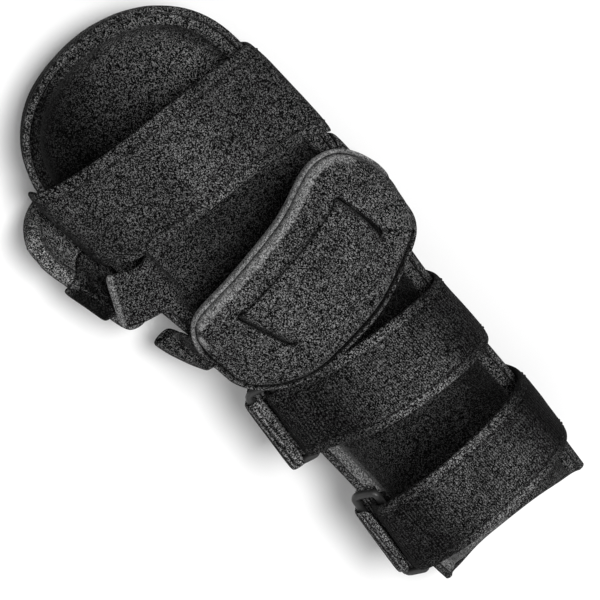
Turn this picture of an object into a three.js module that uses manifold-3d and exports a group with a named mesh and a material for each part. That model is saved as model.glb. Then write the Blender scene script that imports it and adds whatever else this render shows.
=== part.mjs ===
// A resting splint for a right hand: a padded forearm trough that runs into a dished finger pan, with a
// thumb rest, a wrist pad and straps. Millimetres. +X runs to the fingertips, +Y to the thumb side, +Z up.
// While it is built, x = 0 is the wrist and z = 0 the floor that the trough lies on.
import * as THREE from "three";
import { mergeVertices } from "three/addons/utils/BufferGeometryUtils.js";
import Module from "manifold-3d";

// Driving dimensions of the trough and pan
const FOREARM_LENGTH = 184; // wrist to the elbow end
const PALM_LENGTH = 105; // wrist to where the finger pan starts to round off
const PAN_TIP_LENGTH = 47.5; // the round end of the finger pan
const FOREARM_HALF_WIDTH = 44.5;
const PAN_HALF_WIDTH = 53;
const SHELL_WALL = 8;
const TROUGH_DEPTH = 32; // inside, from the floor to the rim
const PALM_LIFT = 12; // how far the underside arches up below the knuckles
const PAN_LEAN = 7; // how far the pan's tip leans to the thumb side
const FLAT_FLOOR = 0.3; // share of the half width that is flat
const PAN_SQUARENESS = 2.15; // 2 is a round tip, more is squarer
const WALL_STEEPNESS = 0.98; // 1 is an upright rim
const STEEPEST_WALL = 0.995;
const ELBOW_SLANT = 10; // the elbow end runs further back on the little-finger side
const ELBOW_CORNER = 20; // how far the walls stop short of the floor at the elbow end
const ELBOW_RUN = 60; // the length over which the elbow end takes its shape

// Driving dimensions of what lies on the trough
const SEAT_GAP = 0.6; // clearance between pieces that lie on each other
const TAPE_THICKNESS = 1.5;
const STRAP_THICKNESS = 2.8;
const CREST_HEIGHT = 64; // floor to the underside of the straps at the elbow end
const FINGER_STRAP_WIDTH = 48; // over the fingers
const FINGER_STRAP_END_WIDTH = 53;
const FOREARM_STRAP_WIDTH = 41;
const WRIST_STRAP_WIDTH = 25;
const WRIST_STRAP_THICKNESS = 2.2;
const PAD_LENGTH = 64; // along the arm
const PAD_THICKNESS = 7;
const PAD_EDGE_THICKNESS = 6.2;
const PAD_TAPE_REACH = 1.3; // how far the pad's tape stands out
const SLOT_SKEW = 0.05; // share of the arch by which a slot's front end lies nearer the thumb
const SLOT_RUN = 0.055; // share of the arch that the wrist strap takes to pass through the pad

// Driving dimensions of the rings
const RING_LENGTH = { distal: 46, proximal: 54 };
const RING_BAR = 3.5;
const RING_REACH = 12; // from the middle of one long bar to the middle of the other
const RING_TILT = { distal: 25, proximal: 45 }; // degrees, outer bar down
const RING_YAW = 7; // degrees, outwards towards the elbow
const WEB_WIDTH = 35;
const WEB_THICKNESS = 1.3;

// Driving dimensions of the thumb rest
const THUMB_REST_LENGTH = 72;
const THUMB_REST_REACH = 23.5; // outwards from the pan's side
const THUMB_REST_WALL = 7;
const THUMB_REST_RISE = 13;
const THUMB_REST_MIDDLE = 71; // its place along the hand
const THUMB_FLOOR = 14; // height of its upper face beside the pan
const CUFF_THICKNESS = 2.4;
const THUMB_SQUARENESS = 3;
const THUMB_ARCH = 39.5; // floor to the underside of the thumb strap

// The trough's sections. `at` is a share of the forearm's length up to 0, of the palm's up to 1 and of the
// pan's round end up to 2. `width` goes from the forearm's half width at 0 to the pan's at 1, `depth` and
// `thumbWall` are shares of the trough's depth, `lift` of the palm's lift, and `bend` is how tight the
// corner between floor and wall is.
const SECTIONS = [
  { at: -1.0, width: -0.3, depth: 0.94, thumbWall: 0.94, lift: 0.0, bend: 2.5 },
  { at: -0.6, width: 0.0, depth: 1.0, thumbWall: 1.0, lift: 0.0, bend: 2.5 },
  { at: -0.25, width: 0.0, depth: 1.0, thumbWall: 0.9, lift: 0.0, bend: 2.5 },
  { at: 0.0, width: 0.4, depth: 0.95, thumbWall: 0.76, lift: 0.1, bend: 2.6 },
  { at: 0.3, width: 0.85, depth: 0.72, thumbWall: 0.5, lift: 0.6, bend: 2.9 },
  { at: 0.55, width: 1.0, depth: 0.4, thumbWall: 0.18, lift: 1.0, bend: 3.2 },
  { at: 0.85, width: 1.0, depth: 0.4, thumbWall: 0.3, lift: 0.75, bend: 3.5 },
  { at: 1.0, width: 1.0, depth: 0.47, thumbWall: 0.44, lift: 0.45, bend: 3.6 },
  { at: 1.4, width: 1.0, depth: 0.63, thumbWall: 0.63, lift: 0.0, bend: 3.6 },
  { at: 2.0, width: 1.0, depth: 0.63, thumbWall: 0.63, lift: 0.0, bend: 3.6 },
];

// The height of the straps' underside above the floor along the splint, as a share of CREST_HEIGHT
const CREST = [
  { at: -1.0, height: 1.0 },
  { at: -0.6, height: 0.95 },
  { at: -0.3, height: 0.88 },
  { at: 0.0, height: 0.73 },
  { at: 0.3, height: 0.68 },
  { at: 0.55, height: 0.62 },
  { at: 1.0, height: 0.6 },
  { at: 1.4, height: 0.57 },
];

// The wrist pad's outline over the arch. `turn` goes from 0 at the little-finger rim to 1 at the thumb rim,
// and `back` and `front` are shares of PAD_LENGTH from the wrist.
const PAD_OUTLINE = [
  { at: 0.0, back: 0.04, front: 0.18 },
  { at: 0.02, back: -0.04, front: 0.23 },
  { at: 0.06, back: -0.1, front: 0.34 },
  { at: 0.12, back: -0.15, front: 0.48 },
  { at: 0.2, back: -0.19, front: 0.62 },
  { at: 0.3, back: -0.25, front: 0.68 },
  { at: 0.45, back: -0.33, front: 0.57 },
  { at: 0.6, back: -0.34, front: 0.51 },
  { at: 0.7, back: -0.28, front: 0.49 },
  { at: 0.78, back: -0.19, front: 0.46 },
  { at: 0.83, back: -0.12, front: 0.36 },
  { at: 0.85, back: -0.02, front: 0.24 },
];

// Where the two slots lie on the arch, and the places along the arm of each strap at the little-finger rim,
// over the arm and at the thumb rim, as shares of the forearm's or the palm's length
const SLOTS = { ulnar: 0.33, thumb: 0.61 };
const STRAP_PLACES = {
  wrist: { ulnar: 0.3, top: -0.02, thumb: 0.125, of: PALM_LENGTH },
  finger: { ulnar: 0.69, top: 0.82, thumb: 0.905, of: PALM_LENGTH },
  distal: { ulnar: -0.315, top: -0.317, thumb: -0.205, of: FOREARM_LENGTH },
  proximal: { ulnar: -0.675, top: -0.672, thumb: -0.637, of: FOREARM_LENGTH },
};

// The thumb strap's wrist edge and finger edge, each from the end inside the pan to the end over the thumb
// rest. `along` is a share of PALM_LENGTH, `out` a share of the thumb rest's width out from the pan's wall
// and `up` a share of THUMB_ARCH.
const THUMB_STRAP = {
  back: [
    { along: 0.395, out: 0.0, up: 0.62 },
    { along: 0.392, out: 0.02, up: 0.87 },
    { along: 0.39, out: 0.12, up: 0.95 },
    { along: 0.4, out: 0.37, up: 0.94 },
    { along: 0.42, out: 0.65, up: 0.89 },
    { along: 0.46, out: 0.91, up: 0.875 },
  ],
  front: [
    { along: 0.61, out: 0.0, up: 0.62 },
    { along: 0.61, out: 0.01, up: 0.84 },
    { along: 0.61, out: 0.08, up: 0.92 },
    { along: 0.615, out: 0.22, up: 0.94 },
    { along: 0.65, out: 0.42, up: 0.94 },
    { along: 0.68, out: 0.575, up: 0.93 },
  ],
};

const FINISHES = {
  padding: { color: 0x2f2f32, roughness: 0.95, metalness: 0 },
  tape: { color: 0x4a4a4d, roughness: 0.9, metalness: 0 },
  strap: { color: 0x2a2a2d, roughness: 0.95, metalness: 0 },
  webbing: { color: 0x333336, roughness: 0.85, metalness: 0 },
  plastic: { color: 0x1b1b1d, roughness: 0.45, metalness: 0 },
};

const RIM_ROUNDNESS = 0.22; // how far the wall's round edge stands out, as a share of its thickness
const wasm = await Module();
wasm.setup();
const { lerp, clamp, smoothstep, degToRad } = THREE.MathUtils;
const TINY = 1e-3;

// The place along the arm, in millimetres, of a share in a table
function placeOf(at) {
  if (at <= 0) return at * FOREARM_LENGTH;
  if (at <= 1) return at * PALM_LENGTH;
  return PALM_LENGTH + (at - 1) * PAN_TIP_LENGTH;
}

// A smooth curve through one column of a table, level wherever two rows hold the same value
function curveThrough(rows, column, place) {
  const xs = rows.map((row) => place(row.at));
  const ys = rows.map((row) => row[column]);
  const rises = xs.slice(1).map((x, i) => (ys[i + 1] - ys[i]) / (x - xs[i]));
  const slopes = ys.map((_, i) => {
    const before = rises[i - 1] ?? 0;
    const after = rises[i] ?? 0;
    return before * after > 0 ? (2 * before * after) / (before + after) : 0;
  });
  return (x) => {
    const inside = clamp(x, xs[0], xs[xs.length - 1]);
    const i = Math.min(xs.findLastIndex((left) => left <= inside), xs.length - 2);
    const span = xs[i + 1] - xs[i];
    const t = (inside - xs[i]) / span;
    const ends = ys[i] * (1 + 2 * t) * (1 - t) ** 2 + ys[i + 1] * t * t * (3 - 2 * t);
    return ends + span * (slopes[i] * t * (1 - t) ** 2 - slopes[i + 1] * t * t * (1 - t));
  };
}

const widthShare = curveThrough(SECTIONS, "width", placeOf);
const depthShare = curveThrough(SECTIONS, "depth", placeOf);
const thumbWallShare = curveThrough(SECTIONS, "thumbWall", placeOf);
const liftShare = curveThrough(SECTIONS, "lift", placeOf);
const cornerBend = curveThrough(SECTIONS, "bend", placeOf);
const crestShare = curveThrough(CREST, "height", placeOf);

// The middle line of the splint leans to the thumb side from the palm on
function middle(x) {
  const LEAN_POWER = 2.3;
  const share = clamp(x / (PALM_LENGTH + PAN_TIP_LENGTH), 0, 1);
  return PAN_LEAN * share ** LEAN_POWER;
}

const innerHalfWidth = (x) => lerp(FOREARM_HALF_WIDTH, PAN_HALF_WIDTH, widthShare(x)) - SHELL_WALL;
const innerTipLength = PAN_TIP_LENGTH - SHELL_WALL;
const tipShare = (x) => clamp((x - PALM_LENGTH) / innerTipLength, 0, 1);

// The inside's half width at x, which closes to nothing at the pan's tip
function openHalfWidth(x) {
  const left = 1 - tipShare(x) ** PAN_SQUARENESS;
  return innerHalfWidth(x) * left ** (1 / PAN_SQUARENESS);
}

// How far up the wall a place on the inside is: 0 on the flat floor and 1 at the rim
function wallRise(x, y) {
  const across = Math.abs(y - middle(x)) / innerHalfWidth(x);
  const reach = (tipShare(x) ** PAN_SQUARENESS + across ** PAN_SQUARENESS) ** (1 / PAN_SQUARENESS);
  const steepness = Math.min(WALL_STEEPNESS, STEEPEST_WALL);
  const share = clamp((reach - FLAT_FLOOR) / (1 - FLAT_FLOOR), 0, 1) * steepness;
  const bend = cornerBend(x);
  const curve = (s) => 1 - (1 - s ** bend) ** (1 / bend);
  return curve(share) / curve(steepness);
}

// The inside face of the trough and pan
function innerPoint(x, y) {
  const wall = y > middle(x) ? thumbWallShare(x) : depthShare(x);
  const tip = smoothstep(tipShare(x), 0, 1);
  const depth = TROUGH_DEPTH * lerp(wall, depthShare(x), tip);
  return new THREE.Vector3(x, y, PALM_LIFT * liftShare(x) + SHELL_WALL + depth * wallRise(x, y));
}

// The direction square to the inside face, taken just inside the rim
function innerNormal(x, y) {
  const INWARD = 0.995;
  const [a, b] = [Math.min(x, PALM_LENGTH + (x - PALM_LENGTH) * INWARD), lerp(middle(x), y, INWARD)];
  const along = innerPoint(a + TINY, b).sub(innerPoint(a - TINY, b));
  const across = innerPoint(a, b + TINY).sub(innerPoint(a, b - TINY));
  return along.cross(across).normalize();
}

// A place on the outside of a wall. `side` is -1 on the little-finger side and 1 on the thumb side, `up` is
// the share of the half width, 1 at the rim, and `away` is the distance from the wall's outer face.
function onWall(x, side, up, away) {
  const half = openHalfWidth(x) * side;
  const here = innerPoint(x, middle(x) + half * up);
  const below = innerPoint(x, middle(x) + half * (up - TINY));
  const climb = here.clone().sub(below).normalize();
  const out = new THREE.Vector3(0, side * climb.z, -side * climb.y);
  return here.addScaledVector(out, SHELL_WALL + away);
}

// How far out the wall's outer face is at a height
function wallReach(x, side, height) {
  let up = 1;
  while (up > FLAT_FLOOR && onWall(x, side, up, 0).z > height) up -= 0.01;
  return onWall(x, side, up, 0).y;
}

// Where a strap at a distance from the wall has cleared the rim and its tape
function overRim(x, side, away) {
  const STAND = 3.4;
  return onWall(x, side, 1, away).add(new THREE.Vector3(0, 0, STAND));
}

// The arch over the arm between two places above the rims. `turn` is 0 at the first and 1 at the second.
function overArm(x, first, second, turn, away) {
  const ARCH_POWER = 2 / 2.3;
  const swing = Math.PI * clamp(turn, 0, 1);
  const side = Math.cos(swing);
  const half = (second.y - first.y) / 2;
  const base = lerp(first.z, second.z, (1 - side) / 2);
  const top = CREST_HEIGHT * crestShare(x) + away;
  return new THREE.Vector3(
    x,
    (first.y + second.y) / 2 - half * Math.sign(side) * Math.abs(side) ** ARCH_POWER,
    base + (top - base) * Math.sin(swing) ** ARCH_POWER,
  );
}

// Where a strap's middle line lies along the arm, at a turn of the arch
function strapPlace(places, turn) {
  const t = clamp(turn, 0, 1);
  const early = lerp(places.ulnar, places.top, t);
  const late = lerp(places.top, places.thumb, t);
  return places.of * lerp(early, late, t);
}

const steps = (count, from = 0, to = 1) =>
  Array.from({ length: count + 1 }, (_, i) => lerp(from, to, i / count));

// A closed geometry whose faces point out
function closedGeometry(points, faces) {
  const volume = faces.reduce((sum, [a, b, c]) => {
    return sum + points[a].dot(points[b].clone().cross(points[c]));
  }, 0);
  const outward = volume > 0 ? faces : faces.map(([a, b, c]) => [a, c, b]);
  const geometry = new THREE.BufferGeometry().setFromPoints(points);
  geometry.setIndex(outward.flat());
  return geometry;
}

// The outline of a grid as index pairs, once round
function outlineOf(rows, columns) {
  const loop = [];
  for (let j = 0; j < columns; j++) loop.push([0, j]);
  for (let i = 0; i < rows; i++) loop.push([i, columns]);
  for (let j = columns; j > 0; j--) loop.push([rows, j]);
  for (let i = rows; i > 0; i--) loop.push([i, 0]);
  return loop;
}

// The direction square to a grid at one of its points
function normalAt(grid, i, j) {
  if (grid[i][j].normal) return grid[i][j].normal.clone();
  const along = grid[Math.min(i + 1, grid.length - 1)][j].clone().sub(grid[Math.max(i - 1, 0)][j]);
  const across = grid[i][Math.min(j + 1, grid[i].length - 1)].clone().sub(grid[i][Math.max(j - 1, 0)]);
  return along.cross(across).normalize();
}

// The directions at a grid's outline: `normal` square to the sheet and `out` away from its edge
function outlineFrames(grid) {
  const loop = outlineOf(grid.length - 1, grid[0].length - 1);
  const points = loop.map(([i, j]) => grid[i][j]);
  return loop.map(([i, j], k) => {
    const normal = normalAt(grid, i, j);
    const before = points[(k + loop.length - 1) % loop.length];
    const run = points[(k + 1) % loop.length].clone().sub(before);
    const out = run.cross(normal).normalize();
    const inside = grid[clamp(i, 1, grid.length - 2)][clamp(j, 1, grid[0].length - 2)];
    if (out.dot(points[k].clone().sub(inside)) < 0) out.negate();
    return { point: points[k], normal, out, row: i, column: j };
  });
}

// A closed padded sheet. One face lies on the grid and the other `thickness` away along its normals, and
// the edge between them is round, standing out by `roundness` of the thickness.
function paddedSheet(grid, thickness, roundness = 0.3, edgeSteps = 1) {
  const columns = grid[0].length;
  const thick = typeof thickness === "function" ? thickness : () => thickness;
  const points = grid.flat().map((point) => point.clone());
  const count = points.length;
  grid.forEach((line, i) =>
    line.forEach((point, j) => points.push(normalAt(grid, i, j).multiplyScalar(thick(i, j)).add(point))),
  );
  const faces = [];
  for (let i = 0; i < grid.length - 1; i++) {
    for (let j = 0; j < columns - 1; j++) {
      const a = i * columns + j;
      const b = a + columns;
      faces.push([a, b, b + 1], [a, b + 1, a + 1]);
      faces.push([count + a, count + b + 1, count + b], [count + a, count + a + 1, count + b + 1]);
    }
  }
  const frames = outlineFrames(grid);
  const lines = steps(edgeSteps + 1).map((share) =>
    frames.map(({ point, normal, out, row, column }) => {
      const start = row * columns + column;
      if (share === 0) return start;
      if (share === 1) return count + start;
      const swing = Math.PI * share;
      const deep = thick(row, column);
      const edge = point.clone().addScaledVector(normal, (deep * (1 - Math.cos(swing))) / 2);
      return points.push(edge.addScaledVector(out, Math.abs(deep) * roundness * Math.sin(swing))) - 1;
    }),
  );
  for (let s = 0; s < lines.length - 1; s++) {
    frames.forEach((_, k) => {
      const next = (k + 1) % frames.length;
      const [a, b, c, d] = [lines[s][k], lines[s][next], lines[s + 1][next], lines[s + 1][k]];
      faces.push([a, b, c], [a, c, d]);
    });
  }
  return closedGeometry(points, faces);
}

// A tape with a small section, swept once round an outline
function sweptTape(frames, section) {
  const size = section(frames[0]).length;
  const points = frames.flatMap((frame) => section(frame));
  const faces = [];
  frames.forEach((_, k) => {
    const here = k * size;
    const there = ((k + 1) % frames.length) * size;
    for (let s = 0; s < size; s++) {
      const next = (s + 1) % size;
      faces.push([here + s, there + s, there + next], [here + s, there + next, here + next]);
    }
  });
  return closedGeometry(points, faces);
}

function solidOf(geometry) {
  const bare = geometry.clone();
  bare.deleteAttribute("normal");
  bare.deleteAttribute("uv");
  const merged = mergeVertices(bare, TINY);
  return new wasm.Manifold(
    new wasm.Mesh({
      numProp: 3,
      vertProperties: merged.attributes.position.array,
      triVerts: new Uint32Array(merged.index.array),
    }),
  );
}

function geometryOf(solid) {
  const mesh = solid.getMesh();
  const geometry = new THREE.BufferGeometry();
  geometry.setAttribute("position", new THREE.BufferAttribute(mesh.vertProperties, 3));
  geometry.setIndex(new THREE.BufferAttribute(mesh.triVerts, 1));
  return geometry;
}

function piece(name, geometry, finish) {
  const mesh = new THREE.Mesh(geometry, new THREE.MeshStandardMaterial(FINISHES[finish]));
  mesh.name = name;
  return mesh;
}

// Shares from -1 to 1 that lie closer together towards both ends
const crowded = (count) => steps(count, -1, 1).map((share) => Math.sin((share * Math.PI) / 2));

// A half square laid onto a half round: `out` goes from 0 to 1 and `along` from -1 to 1
function halfRound(out, along, squareness) {
  const across = out * Math.sqrt(1 - along ** 2 / 2);
  const aside = along * Math.sqrt(1 - out ** 2 / 2);
  const angle = Math.atan2(aside, across);
  const corner = Math.abs(Math.cos(angle)) ** squareness + Math.abs(Math.sin(angle)) ** squareness;
  const stretch = corner ** (-1 / squareness);
  return [across * stretch, aside * stretch];
}

function troughPoint(x, y) {
  const point = innerPoint(x, y);
  point.normal = innerNormal(x, y);
  return point;
}

// The grid of the trough's inside face, from the elbow end to the pan's tip
function troughGrid() {
  const STATIONS = 21;
  const COLUMNS = 16;
  const TIP_ROWS = 7;
  const across = crowded(COLUMNS);
  const straight = steps(STATIONS, -FOREARM_LENGTH, PALM_LENGTH).map((station) =>
    across.map((share) => {
      const end = 1 - smoothstep(station, -FOREARM_LENGTH, ELBOW_RUN - FOREARM_LENGTH);
      const shift = (ELBOW_SLANT / 2) * share + ELBOW_CORNER * share ** 6;
      const x = station + end * shift;
      return troughPoint(x, middle(x) + share * innerHalfWidth(x));
    }),
  );
  const tip = steps(TIP_ROWS).slice(1).map((step) =>
    across.map((share) => {
      const [out, aside] = halfRound(Math.sin((step * Math.PI) / 2), share, PAN_SQUARENESS);
      const x = PALM_LENGTH + out * innerTipLength;
      return troughPoint(x, middle(x) + aside * innerHalfWidth(x));
    }),
  );
  return [...straight, ...tip];
}

function troughShell() {
  return paddedSheet(troughGrid(), -SHELL_WALL, RIM_ROUNDNESS, 3);
}

// The tape sewn along the rim's outer edge, bent over its roundness
function edgeBinding() {
  const ARC_POINTS = 2;
  const frames = outlineFrames(troughGrid());
  const crescent = ({ point, normal, out }) => {
    const arc = (clear, share) => {
      const swing = Math.PI * share;
      const edge = point.clone().addScaledVector(normal, (-SHELL_WALL * (1 - Math.cos(swing))) / 2);
      return edge.addScaledVector(out, SHELL_WALL * RIM_ROUNDNESS * Math.sin(swing) + clear);
    };
    const under = steps(ARC_POINTS, 0.58, 0.88).map((share) => arc(SEAT_GAP, share));
    const over = steps(ARC_POINTS, 0.84, 0.62).map((share) => arc(SEAT_GAP + TAPE_THICKNESS, share));
    return [...under, ...over];
  };
  return sweptTape(frames, crescent);
}

// Shares across a strap, from its fingertip edge back, so that its thickness builds outwards
const across = (count) => steps(count, 0.5, -0.5);

// The finger strap lies on both walls, arches over the fingers and is wider at the little-finger side
function fingerStrap() {
  const ARCH_STEPS = 16;
  const LEG_STEPS = 4;
  const WIDTH_STEPS = 4;
  const ULNAR_END = 0.86;
  const TIP_SPARE = 3; // the wall turns in towards the tip, and the strap's corners stand off it
  const away = (x) => SEAT_GAP + TIP_SPARE * tipShare(x);
  const legPlace = (up) => ({ turn: 0, at: (x) => onWall(x, -1, up, away(x)) });
  const leg = steps(LEG_STEPS, ULNAR_END, 1).map(legPlace);
  const arch = steps(ARCH_STEPS).map((turn) => ({ turn, at: (x) => aroundArm(x, turn, away(x)) }));
  const rim = { turn: 1, at: (x) => onWall(x, 1, 1, away(x) + 2 * SEAT_GAP) };
  const route = [...leg, ...arch, rim];
  const grid = route.map(({ turn, at }) => {
    const width = lerp(FINGER_STRAP_WIDTH, FINGER_STRAP_END_WIDTH, Math.max(1 - 2 * turn, 0) ** 2);
    return across(WIDTH_STEPS).map((share) => at(strapPlace(STRAP_PLACES.finger, turn) + width * share));
  });
  return paddedSheet(grid, STRAP_THICKNESS);
}

// The inner bar of a ring lies above the thumb side's rim, and turns outwards a little towards the elbow
function ringBar(kind) {
  const loop = SEAT_GAP + TAPE_THICKNESS + SEAT_GAP + STRAP_THICKNESS + SEAT_GAP + RING_BAR / 2;
  const INSIDE_RIM = 1.5;
  const along = strapPlace(STRAP_PLACES[kind], 1);
  const rim = innerPoint(along, middle(along) + openHalfWidth(along));
  return {
    along,
    height: rim.z + SHELL_WALL * RIM_ROUNDNESS + loop,
    out: (x) => rim.y + SHELL_WALL - INSIDE_RIM + (along - x) * Math.tan(degToRad(RING_YAW)),
  };
}

// A forearm strap: up the little-finger wall, over the arm and round the ring's inner bar
function ringStrap(kind) {
  const ARCH_STEPS = 16;
  const LEG_STEPS = 4;
  const LOOP_STEPS = 6;
  const LOOP_END = -190;
  const WIDTH_STEPS = 4;
  const ULNAR_END = 0.8;
  const SETTLED = 0.78;
  const bar = ringBar(kind);
  const radius = RING_BAR / 2 + 2 * SEAT_GAP;
  const opening = Math.min(FOREARM_STRAP_WIDTH, RING_LENGTH[kind] - 2 * RING_BAR - 5 * SEAT_GAP);
  const round = (x, degrees) =>
    new THREE.Vector3(
      x,
      bar.out(x) + radius * Math.cos(degToRad(degrees)),
      bar.height + radius * Math.sin(degToRad(degrees)),
    );
  const legPlace = (up) => ({ turn: 0, at: (x) => onWall(x, -1, up, SEAT_GAP) });
  const leg = steps(LEG_STEPS, ULNAR_END, 1).map(legPlace);
  const arch = steps(ARCH_STEPS).slice(0, -1).map((turn) => ({
    turn,
    at: (x) => overArm(x, overRim(x, -1, SEAT_GAP), round(x, 0), turn, SEAT_GAP),
  }));
  const loop = steps(LOOP_STEPS, 0, LOOP_END).map((angle) => ({ turn: 1, at: (x) => round(x, angle) }));
  const grid = [...leg, ...arch, ...loop].map(({ turn, at }) => {
    const settled = Math.min(turn / SETTLED, 1);
    const width = lerp(FOREARM_STRAP_WIDTH, opening, settled ** 4);
    return across(WIDTH_STEPS).map((share) => at(strapPlace(STRAP_PLACES[kind], settled) + width * share));
  });
  return paddedSheet(grid, STRAP_THICKNESS, 0.15);
}

// A rounded rectangular ring, lying across its inner bar
function ringMesh(kind) {
  const CORNER = 4.5;
  const BEVEL = 0.9;
  const rounded = (path, length, width, corner) => {
    const [a, b] = [length / 2, width / 2];
    path.moveTo(-a + corner, -b);
    path.lineTo(a - corner, -b);
    path.absarc(a - corner, -b + corner, corner, -Math.PI / 2, 0, false);
    path.absarc(a - corner, b - corner, corner, 0, Math.PI / 2, false);
    path.absarc(-a + corner, b - corner, corner, Math.PI / 2, Math.PI, false);
    path.absarc(-a + corner, -b + corner, corner, Math.PI, Math.PI * 1.5, false);
    return path;
  };
  const bare = RING_BAR - 2 * BEVEL;
  const whole = RING_LENGTH[kind];
  const shape = rounded(new THREE.Shape(), whole - 2 * BEVEL, RING_REACH + bare, CORNER - BEVEL);
  const hole = rounded(new THREE.Path(), whole - 2 * RING_BAR + 2 * BEVEL, RING_REACH - bare, 2);
  shape.holes.push(hole);
  const geometry = new THREE.ExtrudeGeometry(shape, {
    depth: bare,
    bevelThickness: BEVEL,
    bevelSize: BEVEL,
    bevelSegments: 1,
    curveSegments: 3,
  });
  geometry.translate(0, RING_REACH / 2, -bare / 2);
  const ring = piece(`ring_${kind}`, geometry, "plastic");
  const bar = ringBar(kind);
  ring.position.set(bar.along, bar.out(bar.along), bar.height);
  ring.rotation.set(-degToRad(RING_TILT[kind]), 0, -degToRad(RING_YAW), "ZYX");
  return ring;
}

// The webbing that ties a ring down: up the thumb wall, out below the ring, round its outer bar and back
// over the ring's opening to just short of the strap
function ringWeb(kind) {
  const WALL_PLACES = [0.78, 0.84, 0.89, 0.93, 0.97];
  const WIDTH_STEPS = 3;
  const ARC_STEPS = 6;
  const UNDER_BAR = -50;
  const bar = ringBar(kind);
  const tilt = degToRad(RING_TILT[kind]);
  const radius = RING_BAR / 2 + SEAT_GAP;
  const strapLoop = RING_BAR / 2 + 2 * SEAT_GAP + STRAP_THICKNESS;
  const flap = RING_REACH - strapLoop - 2 * SEAT_GAP;
  const wall = (up) => ({ at: (x) => onWall(x, 1, up, SEAT_GAP) });
  const round = (angle, inward) => ({
    at: (x) =>
      new THREE.Vector3(
        x,
        bar.out(x) + (RING_REACH - inward) * Math.cos(tilt) + radius * Math.cos(angle),
        bar.height - (RING_REACH - inward) * Math.sin(tilt) + radius * Math.sin(angle),
      ),
  });
  const above = Math.PI / 2 - tilt;
  const arc = steps(ARC_STEPS, degToRad(UNDER_BAR), above).map((angle) => round(angle, 0));
  const end = [flap / 2, flap].map((inward) => round(above, inward));
  const grid = [...WALL_PLACES.map(wall), ...arc, ...end].map(({ at }) =>
    across(WIDTH_STEPS).map((share) => at(bar.along + WEB_WIDTH * share)),
  );
  return paddedSheet(grid, -WEB_THICKNESS);
}

const PAD_AWAY = 2 * SEAT_GAP + STRAP_THICKNESS;
const padBack = curveThrough(PAD_OUTLINE, "back", (at) => at);
const padFront = curveThrough(PAD_OUTLINE, "front", (at) => at);

// A place on the arch at a distance from the arm
function aroundArm(x, turn, away) {
  return overArm(x, overRim(x, -1, away), overRim(x, 1, away), turn, away);
}

function padGrid() {
  const WIDTH_STEPS = 10;
  const turns = [0, 0.02, ...steps(15, 0.06, 0.78), 0.83, 0.85];
  return turns.map((turn) =>
    crowded(WIDTH_STEPS).map((share) => {
      const back = PAD_LENGTH * padBack(turn);
      const front = PAD_LENGTH * padFront(turn);
      return aroundArm(lerp(front, back, (share + 1) / 2), turn, PAD_AWAY);
    }),
  );
}

function padThickness(grid) {
  return (i, j) => {
    const rim = Math.min(i / 2, j / 2, (grid.length - 1 - i) / 2, (grid[0].length - 1 - j) / 2, 1);
    return lerp(PAD_EDGE_THICKNESS, PAD_THICKNESS, rim);
  };
}

// The wrist strap's route: under the pad, up through a slot, over the pad and down through the other slot,
// then out at the thumb side in a flat folded tab
function wristStrap(spare) {
  const WIDTH_STEPS = 3;
  const TAB_FOLD = 1.4;
  const TAB_SLANT = 0.45;
  const UNDER = 0.8;
  const over = PAD_AWAY + PAD_THICKNESS + SEAT_GAP;
  const height = (turn) => {
    const rise = smoothstep(turn, SLOTS.ulnar - SLOT_RUN, SLOTS.ulnar);
    const fall = smoothstep(turn, SLOTS.thumb, SLOTS.thumb + SLOT_RUN);
    return lerp(SEAT_GAP, over, rise * (1 - fall));
  };
  const leg = steps(4, UNDER, 1).map((up) => ({ turn: 0, at: (x) => onWall(x, -1, up, SEAT_GAP) }));
  const arch = steps(44).map((turn) => ({
    turn,
    at: (x, share) => {
      const skewed = turn + SLOT_SKEW * share * Math.sin(Math.PI * turn);
      return aroundArm(x, clamp(skewed, 0, 1), height(turn));
    },
  }));
  const TAB = [
    { out: 2, down: 2.5 },
    { out: 6, down: 4.5 },
    { out: 10.5, down: 5.5 },
    { out: 10.5 + TAB_FOLD * 0.9, down: 5.9 + TAB_FOLD },
    { out: 10.5, down: 6.3 + 2 * TAB_FOLD },
    { out: 6, down: 6.2 + 2 * TAB_FOLD },
    { out: 3, down: 5.2 + 2 * TAB_FOLD },
  ];
  const rim = (x) => onWall(x, 1, 1, SEAT_GAP);
  const tab = TAB.map(({ out, down }) => ({
    turn: 1,
    at: (x, share) => rim(x).add(new THREE.Vector3(0, out * (1 + TAB_SLANT * (share - 0.5)), -down)),
  }));
  const grid = [...leg, ...arch, ...tab].map(({ turn, at }) =>
    across(WIDTH_STEPS).map((share) =>
      at(strapPlace(STRAP_PLACES.wrist, turn) + (WRIST_STRAP_WIDTH + 2 * spare) * share, share),
    ),
  );
  const lowered = grid.map((line, i) =>
    line.map((point, j) => point.clone().addScaledVector(normalAt(grid, i, j), -spare)),
  );
  return paddedSheet(lowered, WRIST_STRAP_THICKNESS + 2 * spare);
}

function wristPad() {
  const grid = padGrid();
  const pad = solidOf(paddedSheet(grid, padThickness(grid), 0.2, 1));
  return geometryOf(pad.subtract(solidOf(wristStrap(SEAT_GAP))));
}

function wristPadBinding() {
  const grid = padGrid();
  const thickness = padThickness(grid);
  const section = ({ point, normal, out, row, column }) => {
    const deep = thickness(row, column);
    const place = (height, reach) =>
      point.clone().addScaledVector(normal, height * deep).addScaledVector(out, reach);
    const near = 0.2 * deep + SEAT_GAP;
    return [
      place(0.1, near),
      place(1, near),
      place(0.92, near + PAD_TAPE_REACH),
      place(0.18, near + PAD_TAPE_REACH),
    ];
  };
  return sweptTape(outlineFrames(grid), section);
}

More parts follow.
